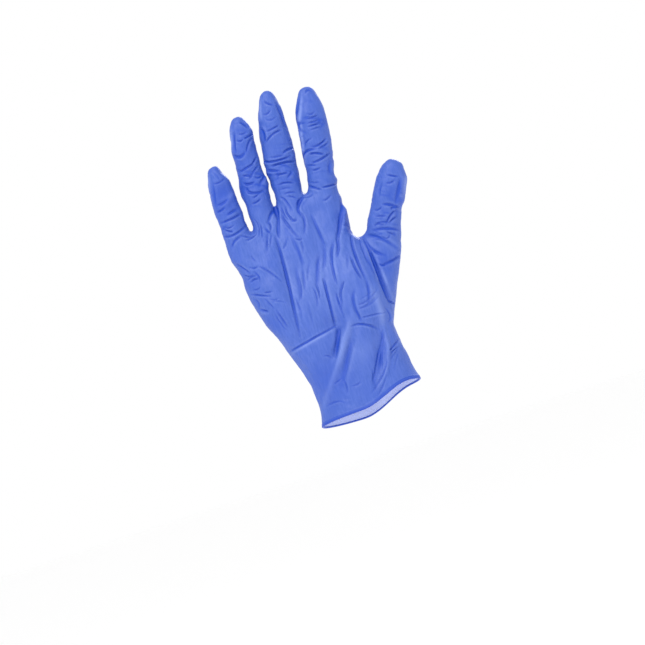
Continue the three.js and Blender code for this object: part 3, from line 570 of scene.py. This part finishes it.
def noise(places, seed):
    """Smooth noise from about -1 to 1 at rows of x, y, z, one feature a unit."""
    table = np.random.default_rng(seed).uniform(-1.0, 1.0, NOISE_VALUES)
    cell = np.floor(places).astype(np.int64)
    inside = places - cell
    ease = inside * inside * (3.0 - 2.0 * inside)
    total = np.zeros(len(places))
    for corner in np.ndindex(2, 2, 2):
        keys = (cell + np.array(corner)) * np.array(NOISE_PRIMES)
        key = keys[:, 0] ^ keys[:, 1] ^ keys[:, 2]
        share = np.prod(np.where(np.array(corner) == 1, ease, 1.0 - ease), axis=1)
        total += table[key % NOISE_VALUES] * share
    return total * NOISE_GAIN


def waves(across, deep, up, kind, lean=0.0):
    """Noise of one kind at places across, from front to back and up, its features slanted by the lean."""
    sizes, seed = kind
    ways = np.stack([across, deep, up], axis=1) / np.array(sizes)
    ways[:, 2] += lean * across
    return noise(ways, seed)


def bell(value, width):
    """1 where a value is zero, falling to 0 over about twice the width."""
    return np.exp(-((value / width) ** 2))


# Camera

def add_camera():
    data = bpy.data.cameras.new("camera")
    data.sensor_width = SENSOR
    data.lens = SENSOR * DISTANCE / (PICTURE * PIXEL)
    camera = bpy.data.objects.new("camera", data)
    bpy.context.collection.objects.link(camera)
    back = Vector((0.0, -math.cos(ELEVATION), math.sin(ELEVATION)))
    level_up = Vector((0.0, math.sin(ELEVATION), math.cos(ELEVATION)))
    across = Vector((1.0, 0.0, 0.0))
    right = across * math.cos(ROLL) - level_up * math.sin(ROLL)
    up = across * math.sin(ROLL) + level_up * math.cos(ROLL)
    turn = Matrix((right, up, back)).transposed()
    camera.matrix_world = Matrix.Translation(AIM + back * DISTANCE) @ turn.to_4x4()
    bpy.context.scene.camera = camera


# Film

def welded(node):
    """The CAD node's mesh with its corners welded and its triangles paired into quads."""
    work = bmesh.new()
    work.from_mesh(node.data)
    bmesh.ops.remove_doubles(work, verts=work.verts, dist=WELD)
    bmesh.ops.join_triangles(
        work, faces=work.faces, angle_face_threshold=math.pi, angle_shape_threshold=math.pi
    )
    work.normal_update()
    work.verts.ensure_lookup_table()
    return work


def skin_sides(work):
    """The skin that each vertex belongs to. The bead's vertices have none a wall's thickness behind them."""
    tree = KDTree(len(work.verts))
    for vert in work.verts:
        tree.insert(vert.co, vert.index)
    tree.balance()
    backed = {}
    for vert in work.verts:
        _, near, gap = tree.find(vert.co - vert.normal * WALL)
        backed[vert.index] = near != vert.index and gap < BACKED
    sides = [BEAD] * len(work.verts)
    top = max(work.verts, key=lambda vert: vert.co.z)
    sides[top.index] = OUTER
    queue = [top]
    while queue:
        vert = queue.pop()
        for edge in vert.link_edges:
            other = edge.other_vert(vert)
            if backed[other.index] and sides[other.index] == BEAD:
                sides[other.index] = OUTER
                queue.append(other)
    for vert in work.verts:
        if sides[vert.index] == BEAD and backed[vert.index]:
            sides[vert.index] = INNER
    return sides


def smoothed(mesh, levels):
    """An evaluated Catmull-Clark copy of a mesh."""
    holder = bpy.data.objects.new("holder", mesh)
    bpy.context.collection.objects.link(holder)
    smooth = holder.modifiers.new("smooth", "SUBSURF")
    smooth.levels = levels
    smooth.render_levels = levels
    graph = bpy.context.evaluated_depsgraph_get()
    result = bpy.data.meshes.new_from_object(holder.evaluated_get(graph))
    bpy.data.objects.remove(holder)
    return result


def halve(work, edges):
    bmesh.ops.subdivide_edges(work, edges=edges, cuts=1, use_grid_fill=True)


def palm_edges(work, layer, longest, least_dark):
    """Edges of the outer skin on the palm's side that are too long, where creases are at least so dark."""
    work.verts.index_update()
    chart_x, chart_z = charted(np.array([vert.co for vert in work.verts]))
    dark = press_creases(chart_x, chart_z, CREASES)[1]
    chosen = []
    for edge in work.edges:
        first, last = edge.verts
        faces_palm = first.normal.y + last.normal.y < -2.0 * PALM_FACING
        outside = first[layer] + last[layer] > 2.0 * OUTER_FROM
        in_crease = max(dark[first.index], dark[last.index]) >= least_dark
        if outside and faces_palm and in_crease and edge.calc_length() > longest:
            chosen.append(edge)
    return chosen


def build_film(node):
    """The film's mesh: one level finer all over, then finer on the outer skin and the bead, on the palm's
    side and at its creases. Its vertices lie on the solid's smoothed skins."""
    work = welded(node)
    sides = skin_sides(work)
    layer = work.verts.layers.float.new("outer")
    for vert in work.verts:
        vert[layer] = sides[vert.index]
    coarse = bpy.data.meshes.new("coarse")
    work.to_mesh(coarse)
    work.free()

    fine = smoothed(coarse, 3)
    guide = BVHTree.FromPolygons(
        [vert.co for vert in fine.vertices], [tuple(face.vertices) for face in fine.polygons]
    )
    film = smoothed(coarse, 1)
    work = bmesh.new()
    work.from_mesh(film)
    layer = work.verts.layers.float["outer"]
    beyond = [edge for edge in work.edges if sum(vert[layer] for vert in edge.verts) > 2.0 * BEAD_FROM]
    halve(work, beyond)
    work.normal_update()

    halve(work, palm_edges(work, layer, PLAIN_EDGE, 0.0))
    work.normal_update()
    halve(work, palm_edges(work, layer, CREASE_EDGE, CREASED_FROM))
    for vert in work.verts:
        place, _, _, _ = guide.find_nearest(vert.co)
        vert.co = place
    work.normal_update()
    work.to_mesh(film)
    work.free()
    bpy.data.meshes.remove(coarse)
    bpy.data.meshes.remove(fine)
    return film


# Creases and wrinkles

def charted(places):
    """Where places lie on the chart, which is a plane through AIM that faces the camera."""
    back = np.array((0.0, -math.cos(ELEVATION), math.sin(ELEVATION)))
    level_up = np.array((0.0, math.sin(ELEVATION), math.cos(ELEVATION)))
    off = places - np.array(AIM)
    nearer = DISTANCE / (DISTANCE - off @ back)
    x = off[:, 0] * nearer / MM + CHARTED_AIM[0]
    z = off @ level_up * nearer / MM + CHARTED_AIM[1]
    return x, z


def near_curve(x, z, start, middle, end, reach):
    """Places near a curve: their numbers, distances and sides, and how strong the curve is beside them."""
    steps = np.linspace(0.0, 1.0, CURVE_STEPS + 1)
    start, middle, end = (np.array(place) for place in (start, middle, end))
    pull = 2.0 * middle - (start + end) / 2.0
    shares = ((1 - steps) ** 2, 2 * steps * (1 - steps), steps**2)
    line = sum(np.outer(share, place) for share, place in zip(shares, (start, pull, end)))
    near = (x > line[:, 0].min() - reach) & (x < line[:, 0].max() + reach)
    near &= (z > line[:, 1].min() - reach) & (z < line[:, 1].max() + reach)
    index = np.nonzero(near)[0]
    place = np.stack([x[index], z[index]], axis=1)
    best = np.full(len(index), FAR)
    side = np.zeros(len(index))
    along = np.zeros(len(index))
    for i in range(CURVE_STEPS):
        way = line[i + 1] - line[i]
        share = np.clip((place - line[i]) @ way / (way @ way), 0.0, 1.0)
        off = place - line[i] - share[:, None] * way
        away = np.linalg.norm(off, axis=1)
        closer = away < best
        best = np.where(closer, away, best)
        side = np.where(closer, np.sign(off[:, 0] - off[:, 1]), side)
        along = np.where(closer, (i + share) / CURVE_STEPS, along)
    strength = np.sqrt(np.sin(np.pi * np.clip(along, *CURVE_ENDS)))
    return index, best, side, strength


def press_creases(x, z, table):
    """Grooves with a lip on each side, the stronger one below and on the right: their height, the painted
    shade in the grooves and the painted highlight on the lips."""
    relief = np.zeros(len(x))
    dark = np.zeros(len(x))
    light = np.zeros(len(x))
    for start, middle, end, depth, width in table:
        index, away, side, strength = near_curve(x, z, start, middle, end, CREASE_REACH * width)
        signed = away * side
        groove = bell(away, GROOVE_WIDTH * width)
        lips = sum(high * bell(signed - place * width, wide * width) for place, high, wide in LIPS)
        relief[index] += depth * strength * (lips - groove)
        if depth > 0:
            tint = min(depth, DARKEST) * strength
            dark[index] = np.maximum(dark[index], tint * groove)
            light[index] = np.maximum(light[index], tint * lips)
    return relief, dark, light


def knuckle_creases():
    """Creases across the back of each finger joint, bowed away from the joint's middle."""
    rows = []
    for root_x, root_z, lean, length, half, joints in FINGERS.values():
        up = np.array((math.sin(math.radians(lean)), math.cos(math.radians(lean))))
        across = np.array((up[1], -up[0]))
        for share in joints:
            joint = np.array((root_x, root_z)) + up * length * share
            for line in KNUCKLE_LINES:
                middle = joint + up * line
                wide = across * half * (KNUCKLE_SPAN[0] - KNUCKLE_SPAN[1] * abs(line))
                bow = up * KNUCKLE_BOW * line
                curve = (middle - wide - bow, middle + bow, middle + wide - bow)
                rows.append((*curve, KNUCKLE_DEPTH, KNUCKLE_WIDTH))
    return tuple(rows)


def raised(x, z, table):
    """The summed height of smooth rolls along their curves."""
    height = np.zeros(len(x))
    for start, middle, end, rise, width in table:
        index, away, _, strength = near_curve(x, z, start, middle, end, ROLL_REACH * width)
        height[index] += rise * strength * bell(away, width)
    return height


def patch(x, z, place, reach):
    return np.exp(-((x - place[0]) ** 2 + (z - place[1]) ** 2) / reach**2)


def patches(x, z, table):
    return sum(amount * patch(x, z, place, reach) for place, amount, reach in table)


def shift_of(x, z):
    """How far the whole film is shifted across and up."""
    shift = np.zeros((len(x), 3))
    for place, (across, up), reach in SHIFTS:
        share = patch(x, z, place, reach)
        shift[:, 0] += across * share
        shift[:, 2] += up * share
    return shift


def finger_places(x, z):
    """For each place, its finger's number, height up the finger and distance across it."""
    best = np.full(len(x), FAR)
    number = np.zeros(len(x), int)
    up = np.zeros(len(x))
    across = np.zeros(len(x))
    for i, (root_x, root_z, lean, length, half, _) in enumerate(FINGERS.values()):
        lean = math.radians(lean)
        own_up = (x - root_x) * math.sin(lean) + (z - root_z) * math.cos(lean)
        own_across = (x - root_x) * math.cos(lean) - (z - root_z) * math.sin(lean)
        away = np.abs(own_across) / half + np.clip(-own_up, 0.0, None) / ROOT_REACH
        closer = away < best
        best = np.where(closer, away, best)
        number = np.where(closer, i, number)
        up = np.where(closer, own_up / length, up)
        across = np.where(closer, own_across, across)
    return number, up, across


def relief_of(places, outward, chart_x, chart_z):
    """How far the outer skin rises at each place, its painted shade, with the fingers darker and random
    streaks of tone, and the painted highlight on the creases' lips.
    """
    x, y, z = places.T
    front = smoothstep(*FRONT_FROM, -outward[:, 1])
    back = smoothstep(*BACK_FROM, outward[:, 1])
    side = np.clip(1.0 - front - back, 0.0, 1.0)
    number, up, across = finger_places(x, z)
    on_finger = smoothstep(*FINGER_FROM, up)
    on_palm = (1.0 - on_finger) * smoothstep(*PALM_FROM, z)
    on_cuff = 1.0 - smoothstep(*CUFF_TO, z)

    in_sight = smoothstep(*SIGHT_FROM, -outward[:, 1])
    pressed, dark, light = press_creases(chart_x, chart_z, CREASES)
    back_pressed, back_dark, _ = press_creases(x, z, BACK_CREASES + knuckle_creases())
    stronger = in_sight * (1.0 + FINGER_STRONGER * on_finger)
    pressed = pressed * stronger + BACK_STRONGER * back_pressed * back
    dark = dark * stronger + back_dark * back
    # Painted highlight on the lips of the creases.
    light = LIP_PAINTED_HIGHLIGHT * light * stronger

    # Tension wrinkles that run down the palm and the glove's back, some fine and some broad.
    slant = x - LONG_SLANT * (z - SLANT_MIDDLE)
    long_lines = bell(waves(slant, y, z, LONG_LINES), LONG_THICKNESS + BACK_THICKNESS * back)
    long_lines = long_lines * smoothstep(*LONG_GATHERED, waves(x, y, z, LONG_CLUMPS))
    long_waves = waves(slant, y, z, LONG_WAVES)
    streaks = waves(slant, y, z, LONG_STREAKS)
    # Short wrinkles across the fingers, gathered at the joints.
    joints = np.array([values[5] for values in FINGERS.values()])[number]
    lengths = np.array([values[3] for values in FINGERS.values()])[number]
    away = np.min(np.abs(up[:, None] - joints), axis=1) * lengths
    at_joint = bell(away, JOINT_REACH) * on_finger
    cross_lines = bell(waves(across, y, up * lengths, CROSS_LINES, CROSS_LEAN), CROSS_THICKNESS)
    cross_lines = cross_lines * smoothstep(*CROSS_GATHERED, waves(x, y, z, CROSS_CLUMPS))
    cross_waves = waves(across, y, up * lengths, CROSS_WAVES)
    # Loose film: broad upright waves on the cuff, and small dents all over.
    cuff_waves = waves(x + CUFF_WAVE_SLANT * z, y, z, CUFF_WAVES)
    cuff_lines = bell(waves(x + CUFF_LINE_SLANT * z, y, z, CUFF_LINES), CUFF_THICKNESS)
    dents = waves(x, y, z, DENTS)
    small = waves(x, y, z, SMALL_DENTS)

    palm_share = on_palm * (front * FRONT_SHARE + back + side * SIDE_SHARE)
    joint_share = on_finger * (FINGER_SHARE + (1.0 - FINGER_SHARE) * at_joint)
    finer = 1.0 - BACK_SMOOTHER * back
    relief = pressed + palm_share * (LONG_WAVE_HEIGHT * long_waves - LONG_LINE_DEPTH * long_lines)
    relief = relief + joint_share * (CROSS_WAVE_HEIGHT * cross_waves - CROSS_LINE_DEPTH * cross_lines)
    relief = relief + on_cuff * (CUFF_WAVE_HEIGHT * cuff_waves - CUFF_LINE_DEPTH * cuff_lines)
    fine = SMALL_DENT_HEIGHT * small + STREAK_HEIGHT * (on_palm + on_cuff) * streaks
    relief = relief + DENT_HEIGHT * dents + finer * fine
    # Painted shade in the lines of the wrinkles.
    dark = np.maximum(dark, LONG_DARK * palm_share * long_lines)
    dark = np.maximum(dark, CROSS_DARK * joint_share * cross_lines)
    # The fingers a little darker all over, and random streaks of tone.
    dark = dark + FINGER_DARK * on_finger
    dark = dark + PALM_STREAK_DARK * on_palm * streaks + CUFF_STREAK_DARK * on_cuff * streaks
    # Patches of painted shade.
    dark = dark + in_sight * patches(chart_x, chart_z, PAINTED_SHADE_PATCHES)
    return np.maximum(relief, -DEEPEST), np.clip(dark, 0.0, DARKEST), light


def rolled_edge(places, outer):
    """1 on the last turn of rolled film next to the bead, 0 away from it."""
    bead = np.nonzero(np.abs(outer - BEAD) < BEAD_BAND)[0]
    tree = KDTree(len(bead))
    for index in bead:
        tree.insert(places[index], int(index))
    tree.balance()
    near = places[:, 2] < places[bead, 2].max() + 2.0 * ROLLED_WIDTH * MM
    away = np.full(len(places), FAR)
    for index in np.nonzero(near)[0]:
        away[index] = tree.find(places[index])[2] / MM
    return 1.0 - smoothstep(0.6 * ROLLED_WIDTH, ROLLED_WIDTH, away)


def shape_film(film):
    """Moves the whole film by its rolls and shifts, presses the creases into its outer skin and stores its
    painted shade and painted highlights, with the deeper blue of the rolled film and random streaks of tone."""
    count = len(film.vertices)
    places = np.zeros(count * 3)
    normals = np.zeros(count * 3)
    outer = np.zeros(count)
    film.vertices.foreach_get("co", places)
    film.vertex_normals.foreach_get("vector", normals)
    film.attributes["outer"].data.foreach_get("value", outer)
    places = places.reshape(-1, 3)
    normals = normals.reshape(-1, 3)
    outward = np.where(outer[:, None] < INNER_TO, -normals, normals)
    on_skin = np.abs(outer - BEAD) / BEAD
    chart_x, chart_z = charted(places)
    front = smoothstep(*ROLLS_FROM, -outward[:, 1])

    rolls = raised(chart_x, chart_z, ROLLS) * front + waves(*(places.T / MM), SWAY) * SWAY_HEIGHT
    relief, dark, light = relief_of(places / MM, outward, chart_x, chart_z)
    rim = smoothstep(RELIEF_FROM, OUTER, outer)
    rolled = rolled_edge(places, outer)
    relief = relief * (1.0 - rolled) + ROLLED_RISE * rolled
    # The rolled film beside the bead takes the full deep colour: partly its thicker roll, partly painted
    # shadow beside the bead.
    dark = dark * (1.0 - rolled) + rolled
    # Painted highlights along ridges and on the creases' lips, and patches of painted light, only where the
    # film faces the palm's side.
    facing = smoothstep(*PALE_FROM, -outward[:, 1]) * (1.0 - rolled)
    pale = raised(chart_x, chart_z, PAINTED_RIDGE_HIGHLIGHTS) + patches(chart_x, chart_z, PAINTED_LIGHT_PATCHES)
    pale = np.clip(pale + light, 0.0, 1.0) * facing
    sunk = np.where(outer < INNER_TO, SUNK * smoothstep(*SUNK_FROM, places[:, 2] / MM), 0.0)
    places += outward * ((rolls * on_skin - sunk) * MM)[:, None]
    places += normals * (relief * rim * MM)[:, None]
    places += shift_of(chart_x, chart_z) * MM
    film.vertices.foreach_set("co", places.ravel())
    # Stored for the material: the painted shade in the crease layer and the painted highlights in the pale
    # layer.
    for name, values in (("crease", dark * rim), ("pale", pale * rim)):
        film.attributes.new(name, "FLOAT", "POINT").data.foreach_set("value", values)
    film.update()


# Materials

def new_material(name, color, roughness):
    material = bpy.data.materials.new(name)
    material.use_nodes = True
    shader = material.node_tree.nodes["Principled BSDF"]
    shader.inputs["Base Color"].default_value = (*color, 1.0)
    shader.inputs["Roughness"].default_value = roughness
    return material, shader


def noise_node(tree, place, scale, detail):
    node = tree.nodes.new("ShaderNodeTexNoise")
    node.inputs["Scale"].default_value = scale
    node.inputs["Detail"].default_value = detail
    tree.links.new(place, node.inputs["Vector"])
    return node


def stored(tree, name):
    node = tree.nodes.new("ShaderNodeAttribute")
    node.attribute_name = name
    return node.outputs["Fac"]


def mixed(tree, factor, first, last):
    """The colour that lies between two others, each a constant or a socket."""
    node = tree.nodes.new("ShaderNodeMix")
    node.data_type = "RGBA"
    tree.links.new(factor, node.inputs["Factor"])
    for name, color in (("A", first), ("B", last)):
        if isinstance(color, tuple):
            node.inputs[name].default_value = (*color, 1.0)
        else:
            tree.links.new(color, node.inputs[name])
    return node.outputs["Result"]


def bumped(tree, height, strength, rise, below=None):
    """The surface's tilt from a texture's height, on top of another tilt if one is given."""
    node = tree.nodes.new("ShaderNodeBump")
    node.inputs["Strength"].default_value = strength
    node.inputs["Distance"].default_value = rise
    tree.links.new(height.outputs["Fac"], node.inputs["Height"])
    if below is not None:
        tree.links.new(below, node.inputs["Normal"])
    return node.outputs["Normal"]


def outer_material():
    material, shader = new_material("nitrile_outer", OUTER_COLOR, OUTER_ROUGHNESS)
    shader.inputs["Specular IOR Level"].default_value = OUTER_SPECULAR
    tree = material.node_tree
    place = tree.nodes.new("ShaderNodeTexCoord").outputs["Object"]
    stretch = tree.nodes.new("ShaderNodeMapping")
    stretch.inputs["Scale"].default_value = STREAK_STRETCH
    tree.links.new(place, stretch.inputs["Vector"])
    streaks = noise_node(tree, stretch.outputs["Vector"], *STREAKS[:2])
    cloud = noise_node(tree, place, *CLOUD)
    streaked = mixed(tree, streaks.outputs["Fac"], *STREAKED_COLORS)
    plain = mixed(tree, cloud.outputs["Fac"], *PLAIN_COLORS)
    color = mixed(tree, cloud.outputs["Fac"], plain, streaked)
    # Painted highlights and painted light from the pale layer.
    color = mixed(tree, stored(tree, "pale"), color, PAINTED_HIGHLIGHT_COLOR)
    # Painted shade from the crease layer, which also holds the rolled film's deeper blue.
    color = mixed(tree, stored(tree, "crease"), color, PAINTED_SHADE_AND_DEEP_FILM_COLOR)
    tree.links.new(color, shader.inputs["Base Color"])
    crackle = noise_node(tree, place, *CRACKLE[:2])
    crackle.noise_type = "RIDGED_MULTIFRACTAL"
    grain = noise_node(tree, place, *GRAIN[:2])
    tilt = None
    for texture, (_, _, strength, rise) in ((streaks, STREAKS), (crackle, CRACKLE), (grain, GRAIN)):
        tilt = bumped(tree, texture, strength, rise, tilt)
    tree.links.new(tilt, shader.inputs["Normal"])
    return material


def add_materials(film):
    inner, _ = new_material("nitrile_inner", INNER_COLOR, EDGE_ROUGHNESS)
    bead, _ = new_material("nitrile_bead", BEAD_COLOR, EDGE_ROUGHNESS)
    for material in (outer_material(), inner, bead):
        film.materials.append(material)
    outer = np.zeros(len(film.vertices))
    film.attributes["outer"].data.foreach_get("value", outer)
    for face in film.polygons:
        share = sum(outer[i] for i in face.vertices) / len(face.vertices)
        face.material_index = 1 if share < INNER_TO else 2 if share < OUTER_FROM else 0
        face.use_smooth = True


# Studio

def add_light(name, place, size, power):
    data = bpy.data.lights.new(name, "AREA")
    data.shape = "DISK"
    data.size = size
    data.energy = power
    light = bpy.data.objects.new(name, data)
    light.location = place
    light.rotation_euler = (AIM - Vector(place)).to_track_quat("-Z", "Y").to_euler()
    bpy.context.collection.objects.link(light)


def add_studio():
    world = bpy.data.worlds.new("studio")
    world.use_nodes = True
    world.node_tree.nodes["Background"].inputs["Color"].default_value = (1.0, 1.0, 1.0, 1.0)
    world.node_tree.nodes["Background"].inputs["Strength"].default_value = 1.0
    bpy.context.scene.world = world
    add_light("key", *KEY_LAMP)
    add_light("back", *BACK_LAMP)
    bpy.ops.mesh.primitive_plane_add(size=FLOOR_SIZE, location=(0.0, 0.0, FLOOR_HEIGHT))
    floor = bpy.context.object
    floor.name = "floor"
    pale, _ = new_material("pale_floor", FLOOR_COLOR, FLOOR_ROUGHNESS)
    floor.data.materials.append(pale)


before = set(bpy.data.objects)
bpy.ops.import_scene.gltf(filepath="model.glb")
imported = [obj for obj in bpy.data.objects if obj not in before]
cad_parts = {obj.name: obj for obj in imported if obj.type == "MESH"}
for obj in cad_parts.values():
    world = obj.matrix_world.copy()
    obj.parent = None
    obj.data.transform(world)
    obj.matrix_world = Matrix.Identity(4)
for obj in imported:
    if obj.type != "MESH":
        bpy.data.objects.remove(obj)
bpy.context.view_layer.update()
add_camera()
film_mesh = build_film(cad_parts["glove"])
shape_film(film_mesh)
add_materials(film_mesh)
glove = bpy.data.objects.new("film", film_mesh)
bpy.context.collection.objects.link(glove)
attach(glove, "root")
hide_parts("glove")
add_studio()
bpy.context.scene.view_settings.view_transform = "Standard"
